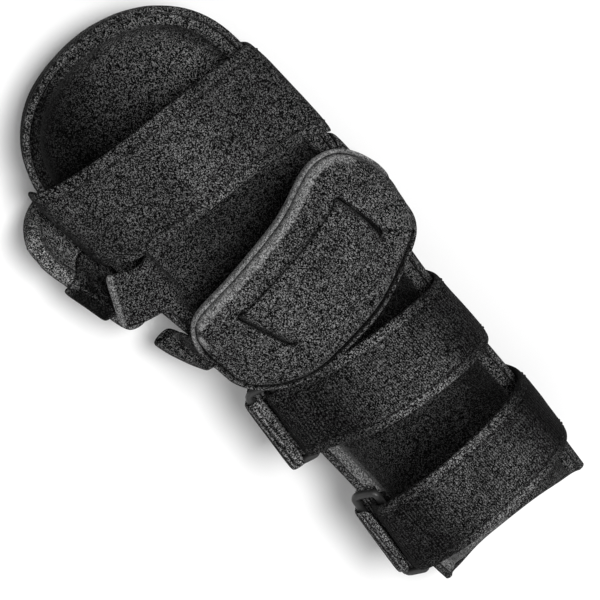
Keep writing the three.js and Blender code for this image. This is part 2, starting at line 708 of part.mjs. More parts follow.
// The upper face of the thumb rest. `out` goes from 0 beside the pan to 1 at its outer edge, and `along`
// from -1 at the wrist end to 1 at the fingertip end.
function thumbRestPoint(out, along) {
  const [reach, aside] = halfRound(out, along, THUMB_SQUARENESS);
  const x = THUMB_REST_MIDDLE + (aside * THUMB_REST_LENGTH) / 2;
  const beside = wallReach(x, 1, THUMB_FLOOR) + 2 * SEAT_GAP;
  const rise = smoothstep(reach, 0.2, 1) * Math.hypot(reach, aside) ** 3;
  return new THREE.Vector3(x, beside + reach * THUMB_REST_REACH, THUMB_FLOOR + THUMB_REST_RISE * rise);
}

function thumbGrid() {
  const ROWS = 8;
  const COLUMNS = 14;
  return steps(ROWS).map((out) =>
    crowded(COLUMNS).map((along) => thumbRestPoint(Math.sin((out * Math.PI) / 2), along)),
  );
}

const THUMB_EDGE_ROUNDNESS = 0.25;

function thumbRest() {
  return paddedSheet(thumbGrid(), THUMB_REST_WALL, THUMB_EDGE_ROUNDNESS, 2);
}

// The cloth band that lines the thumb rest at its wrist end and folds over its outer edge
function thumbCuff() {
  const COLUMNS = { first: 4, last: 8 };
  const FIRST_ROW = 3;
  const FOLD = [0.3, 0.55, 0.8];
  const rest = thumbGrid();
  const outer = rest.length - 1;
  const edge = outlineFrames(rest).filter(({ row }) => row === outer);
  const columns = steps(COLUMNS.last - COLUMNS.first, COLUMNS.first, COLUMNS.last).map(Math.round);
  const lining = rest.slice(FIRST_ROW).map((line, i) =>
    columns.map((j) => line[j].clone().addScaledVector(normalAt(rest, i + FIRST_ROW, j), -SEAT_GAP)),
  );
  const fold = FOLD.map((share) =>
    columns.map((j) => {
      const { point, normal, out } = edge.find(({ column }) => column === j);
      const swing = Math.PI * share;
      const deep = THUMB_REST_WALL * (1 - Math.cos(swing)) - 2 * SEAT_GAP * Math.cos(swing);
      const reach = THUMB_REST_WALL * THUMB_EDGE_ROUNDNESS * Math.sin(swing) + 2 * SEAT_GAP;
      return point.clone().addScaledVector(normal, deep / 2).addScaledVector(out, reach);
    }),
  );
  return paddedSheet([...lining, ...fold], -CUFF_THICKNESS);
}

// The band over the thumb: from inside the pan, over its rim and slanting down to the thumb rest's edge
function thumbStrap() {
  const WIDTH_STEPS = 4;
  const ROUTE_STEPS = 18;
  const INSIDE_WALL = 3.2;
  const inside = PAN_HALF_WIDTH - SHELL_WALL - INSIDE_WALL;
  const restWidth = THUMB_REST_REACH + THUMB_REST_WALL;
  const edge = (places) =>
    new THREE.CatmullRomCurve3(
      places.map(
        ({ along, out, up }) =>
          new THREE.Vector3(PALM_LENGTH * along, inside + restWidth * out, THUMB_ARCH * up),
      ),
      false,
      "centripetal",
    );
  const back = edge(THUMB_STRAP.back);
  const front = edge(THUMB_STRAP.front);
  const grid = steps(ROUTE_STEPS).map((share) =>
    steps(WIDTH_STEPS, 0, 1).map((width) =>
      new THREE.Vector3().lerpVectors(front.getPoint(share), back.getPoint(share), width),
    ),
  );
  return paddedSheet(grid, STRAP_THICKNESS);
}

const root = new THREE.Group();
root.add(
  piece("trough_shell", troughShell(), "padding"),
  piece("edge_binding", edgeBinding(), "tape"),
  piece("finger_strap", fingerStrap(), "strap"),
  piece("forearm_strap_distal", ringStrap("distal"), "strap"),
  piece("forearm_strap_proximal", ringStrap("proximal"), "strap"),
  ringMesh("distal"),
  ringMesh("proximal"),
  piece("ring_web_distal", ringWeb("distal"), "webbing"),
  piece("ring_web_proximal", ringWeb("proximal"), "webbing"),
  piece("wrist_strap", wristStrap(0), "strap"),
  piece("wrist_pad", wristPad(), "padding"),
  piece("wrist_pad_binding", wristPadBinding(), "tape"),
  piece("thumb_rest", thumbRest(), "padding"),
  piece("thumb_cuff", thumbCuff(), "strap"),
  piece("thumb_strap", thumbStrap(), "strap"),
);

// The origin is the middle of the whole splint's footprint, on the floor
const box = new THREE.Box3().setFromObject(root);
root.position.set(-(box.min.x + box.max.x) / 2, -(box.min.y + box.max.y) / 2, -box.min.z);

export default root;
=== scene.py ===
# %% [markdown]
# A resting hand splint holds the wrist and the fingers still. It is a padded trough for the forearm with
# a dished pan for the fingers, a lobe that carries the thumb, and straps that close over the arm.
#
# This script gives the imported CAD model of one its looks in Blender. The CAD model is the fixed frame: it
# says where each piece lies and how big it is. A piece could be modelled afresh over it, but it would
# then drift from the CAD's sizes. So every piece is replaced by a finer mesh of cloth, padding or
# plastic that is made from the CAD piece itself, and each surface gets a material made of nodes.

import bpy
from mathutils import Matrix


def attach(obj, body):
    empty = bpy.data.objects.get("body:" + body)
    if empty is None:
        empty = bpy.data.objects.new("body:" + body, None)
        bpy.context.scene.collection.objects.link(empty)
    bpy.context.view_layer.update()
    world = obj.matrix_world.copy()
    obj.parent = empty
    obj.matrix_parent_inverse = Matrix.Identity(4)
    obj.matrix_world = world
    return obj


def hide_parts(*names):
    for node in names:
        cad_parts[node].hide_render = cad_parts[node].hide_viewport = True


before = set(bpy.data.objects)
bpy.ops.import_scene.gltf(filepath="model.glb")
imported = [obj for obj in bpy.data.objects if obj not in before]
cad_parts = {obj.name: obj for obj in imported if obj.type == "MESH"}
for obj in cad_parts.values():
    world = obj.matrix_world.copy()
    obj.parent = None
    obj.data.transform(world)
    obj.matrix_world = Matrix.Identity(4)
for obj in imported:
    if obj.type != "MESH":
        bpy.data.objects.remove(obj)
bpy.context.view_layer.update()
print("pieces in the frame:", len(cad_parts))

# %% [markdown]
# Blender works in metres. Cloth is thought of in millimetres, so small lengths below are written as a
# number of millimetres times MM.

# %% Modules and units
import math

import bmesh
import bpy
import numpy as np
from mathutils import Matrix, Vector, noise
from mathutils.kdtree import KDTree

MM = 0.001

# %% [markdown]
# The CAD solids are faceted, with long thin triangles. Cloth needs an even mesh that bends smoothly. Here
# each solid is copied, its triangles are paired back into quads, and a subdivision surface rounds it.
# That is quicker and closer to the CAD than modelling each strap again. A padded board has a crisp lip
# along its rim, which rounding would melt away. For such a piece its sharp edges are marked with a
# crease, a number from 0 to 1 that says how far a subdivision surface should leave an edge alone.

# %% A smooth copy of a CAD piece
def welded(node):
    bm = bmesh.new()
    bm.from_mesh(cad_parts[node].data)
    bm.transform(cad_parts[node].matrix_world)
    bmesh.ops.remove_doubles(bm, verts=bm.verts, dist=0.01 * MM)
    bmesh.ops.recalc_face_normals(bm, faces=bm.faces)
    return bm


def new_object(name, mesh):
    obj = bpy.data.objects.new(name, mesh)
    bpy.context.scene.collection.objects.link(obj)
    return obj


def apply_modifiers(obj):
    bpy.context.view_layer.update()
    seen = obj.evaluated_get(bpy.context.evaluated_depsgraph_get())
    mesh = bpy.data.meshes.new_from_object(seen)
    obj.modifiers.clear()
    obj.data = mesh
    mesh.shade_smooth()
    return obj


def smooth_copy(node, levels=2, crease=0.0, sharp=38):
    bm = welded(node)
    bmesh.ops.join_triangles(
        bm, faces=bm.faces, angle_face_threshold=math.radians(35), angle_shape_threshold=math.radians(70)
    )
    if crease:
        layer = bm.edges.layers.float.new("crease_edge")
        for edge in bm.edges:
            if len(edge.link_faces) == 2 and edge.calc_face_angle(0) > math.radians(sharp):
                edge[layer] = crease
    mesh = bpy.data.meshes.new(node)
    bm.to_mesh(mesh)
    bm.free()
    obj = new_object("soft_" + node, mesh)
    subsurf = obj.modifiers.new("round", "SUBSURF")
    subsurf.levels = levels
    subsurf.render_levels = levels
    return apply_modifiers(obj)


# %% [markdown]
# A sewn piece shows its make near its edge: a hem, a line of stitches, a pale tape. It could be painted
# in by hand, but a measure is exact and follows every bend. So each vertex is given its distance to the
# piece's outline, kept on the mesh as a number called rim, in millimetres. The outline is where the CAD
# solid has a sharp edge. A strap's hems lie along its two sides only, so there the edges that run across
# it are skipped. Two more numbers are kept in the same way further down: one for painted light and shade,
# by how much a place is painted paler or darker than the rest of its cloth, and one for a pale band, how
# much of a band of pale flecks lies over it. That band is a fold's line on the thumb's band, and painted
# light on the trough's thumb wall and on the wrist pad's side towards the fingers.

# %% Distance from the outline, kept on the mesh
def tree_of(points):
    tree = KDTree(len(points))
    for i, point in enumerate(points):
        tree.insert(point, i)
    tree.balance()
    return tree


POINT_SPACING = 0.6 * MM


def sharp_points(node, sharp, ends=True, sides=True):
    bm = welded(node)
    points = []
    for edge in bm.edges:
        if len(edge.link_faces) == 2 and edge.calc_face_angle(0) > math.radians(sharp):
            a, b = (vert.co.copy() for vert in edge.verts)
            is_end = abs((b - a).normalized().x) > 0.8
            if not (ends if is_end else sides):
                continue
            count = max(1, int((b - a).length / POINT_SPACING))
            points += [a.lerp(b, i / count) for i in range(count + 1)]
    bm.free()
    return points


def outline_tree(node, sharp, ends=True):
    return tree_of(sharp_points(node, sharp, ends))


def coordinates(obj):
    flat = np.empty(len(obj.data.vertices) * 3, np.float32)
    obj.data.vertices.foreach_get("co", flat)
    return flat.reshape(-1, 3)


def normals(obj):
    flat = np.empty(len(obj.data.vertices) * 3, np.float32)
    obj.data.vertex_normals.foreach_get("vector", flat)
    return flat.reshape(-1, 3)


def keep_values(obj, name, values):
    layer = obj.data.attributes.get(name) or obj.data.attributes.new(name, "FLOAT", "POINT")
    layer.data.foreach_set("value", np.asarray(values, np.float32))


def distances(obj, tree):
    return np.array([tree.find(Vector(point))[2] for point in coordinates(obj)]) / MM


def mark_rim(obj, tree):
    rim = distances(obj, tree)
    keep_values(obj, "rim", rim)
    return rim


# %% [markdown]
# Ribs and weave run along or across a strap. All straps bend round the arm, so the angle round the arm's
# middle line, times a radius, is the length along a strap.

# %% Length along a strap
ARM_Y = -8.65 * MM
ARM_Z = 22 * MM
ARM_RADIUS = 50


def round_arm(place):
    return np.arctan2(place[:, 2] - ARM_Z, ARM_Y - place[:, 1])


def mark_length(obj):
    keep_values(obj, "along", round_arm(coordinates(obj)) * ARM_RADIUS)


# %% [markdown]
# Real cloth is never quite even. A bump in the material would only change its shading, and its outline
# would stay ruled. So the mesh itself is moved: a slow, shallow wave takes the surface in and out by a
# fraction of a millimetre, and padding swells a little away from its seams. Nothing goes below the floor.

# %% Uneven cloth
SLOW_WAVE = 28 * MM
QUICK_WAVE = 9 * MM
SWELL_FROM_SEAM = 9


def unevenness(obj, rim, swell, wave, seed):
    place = coordinates(obj)
    way = normals(obj)
    slow = np.array([noise.noise(Vector(p) / SLOW_WAVE + Vector((seed, 0, 0))) for p in place])
    quick = np.array([noise.noise(Vector(p) / QUICK_WAVE + Vector((0, seed, 0))) for p in place])
    inside = np.clip(rim / SWELL_FROM_SEAM, 0, 1)
    inside = inside * inside * (3 - 2 * inside)
    shift = (swell * inside + wave * (slow + 0.35 * quick) * (0.35 + 0.65 * inside)) * MM
    place = place + way * shift[:, None]
    place[:, 2] = np.maximum(place[:, 2], 0)
    obj.data.vertices.foreach_set("co", place.astype(np.float32).ravel())
    obj.data.update()


# %% [markdown]
# The wrist pad and the thumb rest are soft pads: foam in a sewn cover, flat at the seams and full between
# them. Their fullness could be modelled by eye. Blender's cloth finds it by itself: the cover is held at
# its seams and blown up a little from inside. The pad's CAD solid is first remeshed in small even cells,
# because cloth of uneven cells folds along them. The swelling is kept to a small cap, so a pad stays in
# its place.

# %% Padding by cloth simulation
def remeshed(node, cell, passes):
    bm = welded(node)
    mesh = bpy.data.meshes.new(node)
    bm.to_mesh(mesh)
    bm.free()
    obj = new_object("soft_" + node, mesh)
    remesh = obj.modifiers.new("cells", "REMESH")
    remesh.mode = "VOXEL"
    remesh.voxel_size = cell * MM
    relax = obj.modifiers.new("relax", "SMOOTH")
    relax.factor = 0.5
    relax.iterations = passes
    return apply_modifiers(obj)


CLOTH_FRAMES = 15


def swollen(obj, rim, hold, cap, pressure=3.0):
    start = coordinates(obj).copy()
    group = obj.vertex_groups.new(name="held")
    held = [int(i) for i in np.nonzero(rim < hold)[0]]
    group.add(held, 1.0, "REPLACE")
    cloth = obj.modifiers.new("cloth", "CLOTH")
    settings = cloth.settings
    settings.quality = 4
    settings.mass = 0.2
    settings.tension_stiffness = 12
    settings.compression_stiffness = 12
    settings.shear_stiffness = 5
    settings.bending_stiffness = 2
    settings.use_pressure = True
    settings.uniform_pressure_force = pressure
    settings.vertex_group_mass = group.name
    settings.effector_weights.gravity = 0
    cloth.collision_settings.use_self_collision = False
    for step in range(1, CLOTH_FRAMES + 1):
        bpy.context.scene.frame_set(step)
    apply_modifiers(obj)
    bpy.context.scene.frame_set(1)
    moved = coordinates(obj) - start
    length = np.linalg.norm(moved, axis=1)
    share = np.minimum(1, cap * MM / np.maximum(length, 1e-9))
    obj.data.vertices.foreach_set("co", (start + moved * share[:, None]).astype(np.float32).ravel())
    obj.data.update()
    keep_values(obj, "rim", rim)
    print(obj.name, "swelled by up to", round(float((length * share).max()) / MM, 2), "mm")


# %% [markdown]
# A seam is a line of stitches at an even distance from the edge. Its line could be drawn as a curve by
# hand for each strap. Here it is found from the mesh: wherever the kept distance passes the seam's own on
# an edge of the mesh, the line crosses that edge, and the crossings are joined face by face.

# %% Lines at a distance from the outline
def seam_lines(obj, distance):
    mesh = obj.data
    place = coordinates(obj)
    way = normals(obj)
    rim = np.empty(len(mesh.vertices), np.float32)
    mesh.attributes["rim"].data.foreach_get("value", rim)
    ends = np.empty(len(mesh.edges) * 2, np.int32)
    mesh.edges.foreach_get("vertices", ends)
    ends = ends.reshape(-1, 2)
    first, second = rim[ends[:, 0]] - distance, rim[ends[:, 1]] - distance
    crossed = np.nonzero(first * second < 0)[0]
    share = (first[crossed] / (first[crossed] - second[crossed]))[:, None]
    a, b = ends[crossed, 0], ends[crossed, 1]
    points = {int(e): p for e, p in zip(crossed, place[a] * (1 - share) + place[b] * share)}
    ways = {int(e): n for e, n in zip(crossed, way[a] * (1 - share) + way[b] * share)}
    links = {}
    edge_of = {tuple(sorted(pair)): i for i, pair in enumerate(ends.tolist())}
    for face in mesh.polygons:
        found = [edge_of[tuple(sorted(key))] for key in face.edge_keys]
        found = [e for e in found if e in points]
        if len(found) == 2:
            links.setdefault(found[0], []).append(found[1])
            links.setdefault(found[1], []).append(found[0])
    lines, used = [], set()
    for begin in links:
        if begin in used:
            continue
        chain, here = [begin], begin
        used.add(begin)
        while True:
            ahead = [e for e in links[here] if e not in used]
            if not ahead:
                break
            here = ahead[0]
            used.add(here)
            chain.append(here)
        if begin in links[here] and len(chain) > 3:
            chain.append(begin)
        lines.append((np.array([points[e] for e in chain]), np.array([ways[e] for e in chain])))
    return lines


# %% [markdown]
# Each stitch is a short piece of thread that comes up out of the cloth, lies on it and goes down again.
# It is built from five rings of points. Each ring has its place along the stitch, its thickness as a
# share of the thread's, and its height above the cloth in millimetres.

# %% Stitches along those lines
STITCH_LENGTH = 2.4
STITCH_PITCH = 3.4
THREAD_RADIUS = 0.28
THREAD_SIDES = 6
SHORTEST_SEAM = 12
STITCH_RINGS = [
    (0.00, 0.35, -0.25),
    (0.18, 1.00, 0.12),
    (0.50, 1.10, 0.22),
    (0.82, 1.00, 0.12),
    (1.00, 0.35, -0.25),
]
FACES_A_STITCH = THREAD_SIDES * (len(STITCH_RINGS) - 1) + 2


def stitch_row(name, lines):
    verts, faces = [], []
    for points, ways in lines:
        steps = np.linalg.norm(np.diff(points, axis=0), axis=1)
        reach = np.concatenate([[0], np.cumsum(steps)]) / MM
        if reach[-1] < SHORTEST_SEAM:
            continue
        window = np.ones(5) / 5
        for column in range(3):
            ways[2:-2, column] = np.convolve(ways[:, column], window, "valid")
        count = int(reach[-1] // STITCH_PITCH)
        at = lambda s, rows: np.array([np.interp(s, reach, rows[:, k]) for k in range(3)])
        for i in range(count):
            begin = i * STITCH_PITCH
            a, b = at(begin, points), at(begin + STITCH_LENGTH, points)
            up = at(begin + STITCH_LENGTH / 2, ways)
            up /= np.linalg.norm(up)
            side = np.cross(b - a, up)
            side /= max(np.linalg.norm(side), 1e-9)
            base = len(verts)
            for share, wide, high in STITCH_RINGS:
                middle = a * (1 - share) + b * share + up * high * MM
                for k in range(THREAD_SIDES):
                    turn = 2 * math.pi * k / THREAD_SIDES
                    arm = (side * math.cos(turn) + up * math.sin(turn)) * THREAD_RADIUS * wide * MM
                    verts.append(middle + arm)
            for ring in range(len(STITCH_RINGS) - 1):
                for k in range(THREAD_SIDES):
                    p = base + ring * THREAD_SIDES + k
                    q = base + ring * THREAD_SIDES + (k + 1) % THREAD_SIDES
                    faces.append((p, q, q + THREAD_SIDES, p + THREAD_SIDES))
            last = base + (len(STITCH_RINGS) - 1) * THREAD_SIDES
            faces.append(tuple(range(base + THREAD_SIDES - 1, base - 1, -1)))
            faces.append(tuple(range(last, last + THREAD_SIDES)))
    mesh = bpy.data.meshes.new(name)
    mesh.from_pydata([tuple(v) for v in verts], [], faces)
    mesh.shade_smooth()
    return new_object(name, mesh)


# %% [markdown]
# A material is a small program of nodes, and each node is a step in it. They can be drawn in the shader
# editor. In a script, a helper class keeps that short: it adds a node, sets it and joins it in one line.

# %% Building node materials
class Nodes:
    def __init__(self, name):
        self.material = bpy.data.materials.new(name)
        self.material.use_nodes = True
        self.tree = self.material.node_tree
        self.surface = self.tree.nodes["Principled BSDF"]

    def node(self, kind, inputs=(), **settings):
        made = self.tree.nodes.new(kind)
        for key, value in settings.items():
            setattr(made, key, value)
        for key, value in dict(inputs).items():
            self.feed(made.inputs[key], value)
        return made

    def feed(self, socket, value):
        if isinstance(value, bpy.types.NodeSocket):
            self.tree.links.new(value, socket)
        else:
            socket.default_value = value

    def math(self, operation, a, b=0.0, clamp=False):
        return self.node("ShaderNodeMath", {0: a, 1: b}, operation=operation, use_clamp=clamp).outputs[0]

    def spread(self, value, low, high, to_low=0.0, to_high=1.0):
        inputs = {"Value": value, "From Min": low, "From Max": high, "To Min": to_low, "To Max": to_high}
        return self.node("ShaderNodeMapRange", inputs, interpolation_type="SMOOTHSTEP").outputs["Result"]

    def noise(self, place, size, detail=2.0, rough=0.5):
        inputs = {"Vector": place, "Scale": 1 / (size * MM), "Detail": detail, "Roughness": rough}
        return self.node("ShaderNodeTexNoise", inputs).outputs["Fac"]

    def mix(self, share, a, b):
        made = self.node("ShaderNodeMix", data_type="RGBA")
        self.feed(made.inputs[0], share)
        self.feed(made.inputs[6], a)
        self.feed(made.inputs[7], b)
        return made.outputs[2]

    def value_of(self, name):
        return self.node("ShaderNodeAttribute", attribute_name=name).outputs["Fac"]


def grey(level):
    return (level, level, level, 1.0)


# %% [markdown]
# The cloth is a dark brushed fabric with pale flecks of fibre. A picture of cloth laid over it would
# repeat and stretch, so the flecks are worked out at each place. Small random cells make them, a noise of
# much the same size makes the pile, and two slower ones make worn places, paler or darker at random. The
# same cells and pile lift the surface in a bump, so that the light catches it. A strap has fine ribs
# across it. Its hem is a paler band, with a groove where the stitches pull the cloth in, and the groove's
# shade is painted in as a darker line. Steep places turn darker, as they do in the picture: that is
# painted shade. Painted light and shade kept on the mesh also scale the colour, and a band of pale flecks
# can be laid over it.

# %% The cloth material
PALE_BAND_DARK = 0.02
PALE_BAND_LIGHT = 0.34


def cloth(
    name, dark, pale, grain=0.4, hem=0.0, hem_pale=1.5, groove=0.0, ribs=0.0, rib_pitch=1.3, steep_shade=0.45
):
    n = Nodes(name)
    place = n.node("ShaderNodeTexCoord").outputs["Object"]
    rim = n.value_of("rim")
    cells = n.node("ShaderNodeTexVoronoi", {"Vector": place, "Scale": 1 / (grain * MM)}).outputs["Color"]
    cells = n.node("ShaderNodeSeparateColor", {0: cells}).outputs[0]
    pile = n.noise(place, grain * 1.1, 2.0, 0.7)
    clumps = n.noise(place, 3.2, 2.0, 0.6)
    slow = n.noise(place, 24, 2.0)
    share = n.math("ADD", n.math("MULTIPLY", cells, 0.75), n.spread(pile, 0.3, 0.7, 0.0, 0.25))
    share = n.spread(share, 0.15, 0.88)
    lift = n.math("ADD", n.math("MULTIPLY", cells, 0.45), n.math("MULTIPLY", pile, 0.55))
    if ribs:
        along = n.value_of("along")
        wave = n.math("SINE", n.math("MULTIPLY", along, 2 * math.pi / rib_pitch))
        inside = n.spread(rim, hem + 1, hem + 4)
        wave = n.math("MULTIPLY", n.math("MULTIPLY", wave, inside), ribs)
        share = n.math("ADD", share, n.math("MULTIPLY", wave, 0.25), clamp=True)
        lift = n.math("ADD", lift, wave)
    share = n.math("POWER", n.math("MAXIMUM", share, 0.0), 4.0)
    colour = n.mix(share, grey(dark), grey(pale))
    tone_and_painted_shade = n.math("MULTIPLY", n.spread(slow, 0.3, 0.7, 0.82, 1.18), n.spread(clumps, 0.3, 0.7, 0.8, 1.2))
    # Painted shade: steep places, where the surface turns away from upwards, are darkened.
    way = n.node("ShaderNodeNewGeometry").outputs["Normal"]
    upwards = n.node("ShaderNodeSeparateXYZ", {0: way}).outputs[2]
    tone_and_painted_shade = n.math("MULTIPLY", tone_and_painted_shade, n.spread(upwards, 0.15, 0.97, steep_shade, 1.1))
    if hem:
        band = n.math("SUBTRACT", 1.0, n.spread(rim, hem - 0.5, hem + 0.3))
        tone_and_painted_shade = n.math("MULTIPLY", tone_and_painted_shade, n.math("ADD", 1.0, n.math("MULTIPLY", band, hem_pale - 1)))
    # Painted light and shade kept on the mesh make a place paler or darker.
    tone_and_painted_shade = n.math("MULTIPLY", tone_and_painted_shade, n.math("ADD", 1.0, n.value_of("painted_shading")))
    # Painted shade: the stitch groove is darkened in the colour, and lowered in the bump.
    if groove:
        off = n.math("ABSOLUTE", n.math("SUBTRACT", rim, groove))
        dip = n.math("SUBTRACT", 1.0, n.spread(off, 0.0, 1.0))
        tone_and_painted_shade = n.math("MULTIPLY", tone_and_painted_shade, n.math("SUBTRACT", 1.0, n.math("MULTIPLY", dip, 0.45)))
        lift = n.math("SUBTRACT", lift, n.math("MULTIPLY", dip, 1.6))
    # A band of pale flecks: the thumb band's fold line, and painted light on the trough's thumb wall and on
    # the wrist pad's side towards the fingers.
    pale_band = n.value_of("pale_band")
    pale_band_colour = n.mix(n.math("POWER", cells, 1.5), grey(PALE_BAND_DARK), grey(PALE_BAND_LIGHT))
    tone_and_painted_shade = n.math("ADD", n.math("MULTIPLY", tone_and_painted_shade, n.math("SUBTRACT", 1.0, pale_band)), pale_band)
    colour = n.mix(pale_band, colour, pale_band_colour)
    scaled = n.node("ShaderNodeVectorMath", {0: colour, 3: tone_and_painted_shade}, operation="SCALE").outputs[0]
    bump = n.node("ShaderNodeBump", {"Height": lift, "Strength": 0.7, "Distance": 0.35 * MM}).outputs[0]
    n.feed(n.surface.inputs["Base Color"], scaled)
    n.feed(n.surface.inputs["Roughness"], n.spread(pile, 0.3, 0.7, 0.85, 1.0))
    n.feed(n.surface.inputs["Normal"], bump)
    n.feed(n.surface.inputs["Sheen Weight"], 0.02)
    n.feed(n.surface.inputs["Sheen Roughness"], 0.5)
    n.feed(n.surface.inputs["Specular IOR Level"], 0.03)
    return n.material


# %% [markdown]
# The rings are moulded in black plastic. It is smoother than cloth, with a soft sheen that changes a
# little from place to place, and a fine grain from the mould.

# %% The plastic of the rings
def moulded_plastic(name):
    n = Nodes(name)
    place = n.node("ShaderNodeTexCoord").outputs["Object"]
    grain = n.noise(place, 0.5, 3.0)
    slow = n.noise(place, 9, 2.0)
    n.feed(n.surface.inputs["Base Color"], n.mix(n.spread(slow, 0.3, 0.7), grey(0.012), grey(0.022)))
    n.feed(n.surface.inputs["Roughness"], n.spread(slow, 0.3, 0.7, 0.36, 0.5))
    bump = n.node("ShaderNodeBump", {"Height": grain, "Strength": 0.3, "Distance": 0.1 * MM}).outputs[0]
    n.feed(n.surface.inputs["Normal"], bump)
    return n.material


# %% [markdown]
# Each kind of cloth is one call, with the grey between its flecks and the grey of the flecks. The greys
# were tuned until a render was as bright as the picture at that piece.

# %% All materials
padding = cloth("padding_cloth", 0.0005, 0.155, steep_shade=0.75)
strap_plain = cloth("finger_strap_cloth", 0.0005, 0.165, hem=4.6, hem_pale=1.15, groove=4.8)
strap_ribbed = cloth("forearm_strap_cloth", 0.0005, 0.145, hem=4.4, hem_pale=1.6, groove=4.6, ribs=0.5)
wrist_cloth = cloth("wrist_strap_cloth", 0.0005, 0.172, hem=2.6, hem_pale=0.95, ribs=0.3, rib_pitch=1.5)
pad_cloth = cloth("wrist_pad_cloth", 0.0005, 0.165)
tape_cloth = cloth("edge_tape_cloth", 0.002, 0.15)
pad_tape_cloth = cloth("pad_tape_cloth", 0.0005, 0.165)
# The thumb rest's flecks are much paler than the other padding's: its own paler cloth, and painted light as
# well, since its side faces the light.
lobe_cloth = cloth("thumb_rest_cloth", 0.004, 0.36, groove=3.2)
cuff_cloth = cloth("thumb_cuff_cloth", 0.0003, 0.13)
thumb_strap_cloth = cloth("thumb_strap_cloth", 0.0005, 0.128)
web_cloth = cloth("ring_webbing_cloth", 0.001, 0.26, ribs=1.2, rib_pitch=1.9)
thread = cloth("stitching_thread", 0.005, 0.08, grain=0.3)
ring_plastic = moulded_plastic("ring_plastic")


# %% [markdown]
# Now each piece is made in turn: its mesh, its marks, its material, and what it stands for in the frame.
# The splint has no joint, so every piece rides on the one body, which is called root.

# %% Dressing a piece
def dress(obj, node, material):
    obj.data.materials.clear()
    obj.data.materials.append(material)
    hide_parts(node)
    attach(obj, "root")


def stitched(obj, node, distance):
    row = stitch_row("stitches_" + node, seam_lines(obj, distance))
    row.data.materials.append(thread)
    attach(row, "root")
    print("stitches on", node, len(row.data.polygons) // FACES_A_STITCH)


# %% [markdown]
# The trough and the finger pan are one padded board: firm foam over a hidden metal stay, covered in
# cloth. It holds its shape, so it isn't blown up as the soft pads are. Rounding and a little unevenness
# are enough, with a crease that keeps the lip of its rim.
#
# Deep inside, little light comes in, and that shade is painted into the cloth as a darker colour. The pan
# has painted shade and painted light of its own: its thumb's side, where the fingers' shadow falls, is
# painted darkest and its far side palest, so the pan has a short table of its own: how pale it is at three
# places across it. On the thumb's side of the forearm, the wall's upper inner face, turned up to the light,
# has a pale band of painted light near its rim.

# %% The padded trough
shell = smooth_copy("trough_shell", crease=0.7)
shell_rim = mark_rim(shell, outline_tree("trough_shell", 38))
unevenness(shell, shell_rim, swell=0.3, wave=0.5, seed=3.1)

WRIST_X = -20 * MM
WALL_LIT_BAND_WIDTH = 9
shell_place = coordinates(shell)
# Painted light: a pale band near the rim of the thumb wall's upper inner face, drawn with the pale flecks.
on_thumb_wall = (shell_place[:, 1] > ARM_Y) & (shell_place[:, 0] < WRIST_X) & (normals(shell)[:, 1] < 0.35)
near_rim = 1 - np.clip(shell_rim - WALL_LIT_BAND_WIDTH, 0, 1)
keep_values(shell, "pale_band", 0.6 * on_thumb_wall * near_rim)

# Painted shadow on the pan's thumb side and painted light on its far side, at three places across it.
PAN_ACROSS = [-50, -18, 18]
PAN_PAINTED_SHADING = [0.75, -0.1, -0.85]
PAN_FROM, PAN_BLEND = 80, 20
# Painted shade deep inside the trough.
trough_painted_shade = -0.5 * np.clip((shell_rim - 4) / 26, 0, 1)
pan_painted_shading = np.interp(shell_place[:, 1] / MM, PAN_ACROSS, PAN_PAINTED_SHADING)
pan_painted_shading = np.where(pan_painted_shading > 0, pan_painted_shading * np.clip(shell_rim / 12, 0, 1), pan_painted_shading)
pan_share = np.clip((shell_place[:, 0] / MM - PAN_FROM) / PAN_BLEND, 0, 1)
keep_values(shell, "painted_shading", trough_painted_shade * (1 - pan_share) + pan_painted_shading * pan_share)
dress(shell, "trough_shell", padding)
print("trough:", len(shell.data.polygons), "faces")

# %% [markdown]
# A rolled tape is sewn round the board's edge. In the CAD model it keeps a small gap from the board. On
# the real splint it is pressed against it, so here it is swollen until the gap closes.

# %% The edge tape
tape = smooth_copy("edge_binding", 1, crease=0.5, sharp=30)
tape_rim = mark_rim(tape, outline_tree("edge_binding", 30))
FAR_FROM_SEAMS = 10
unevenness(tape, np.full_like(tape_rim, FAR_FROM_SEAMS), swell=0.45, wave=0.1, seed=6.1)
dress(tape, "edge_binding", tape_cloth)

# %% [markdown]
# Three wide straps of brushed cloth close over the fingers and the forearm, each folded to a hem along
# both sides and sewn there. An empty strap would sag, and cloth could be let fall, but in the picture
# each is drawn tight over an arm. So they keep the CAD's arch, with a little unevenness. Where a strap
# turns down at its two ends it lies in its own shade, and that shade is painted in as a darker colour
# there, more so on the forearm. Each row of the table is one strap.

# %% The finger strap and the forearm straps
STRAP_CREST = 1.5


def painted_shade_at_ends(obj, thumb_end, far_end):
    off_crest = round_arm(coordinates(obj)) - STRAP_CREST
    dark = np.where(off_crest > 0, thumb_end, far_end)
    return -dark * np.clip((np.abs(off_crest) - 0.3) / 0.45, 0, 1)


# Piece, its cloth, angle of its sharp edges, hem in mm, seed, and how much shade is painted at its thumb
# end and far end.
STRAPS = [
    ("finger_strap", strap_plain, 40, 4.6, 7.7, 0.35, 0.35),
    ("forearm_strap_distal", strap_ribbed, 42, 4.4, 1.9, 0.72, 0.72),
    ("forearm_strap_proximal", strap_ribbed, 42, 4.4, 5.2, 0.75, 0.9),
]
for node, material, sharp, hem, seed, thumb_end, far_end in STRAPS:
    strap = smooth_copy(node)
    rim = mark_rim(strap, outline_tree(node, sharp, ends=False))
    mark_length(strap)
    unevenness(strap, rim, swell=0.15, wave=0.45, seed=seed)
    # Painted shade where the strap turns down at its ends.
    keep_values(strap, "painted_shading", painted_shade_at_ends(strap, thumb_end, far_end))
    dress(strap, node, material)
    stitched(strap, node, hem)

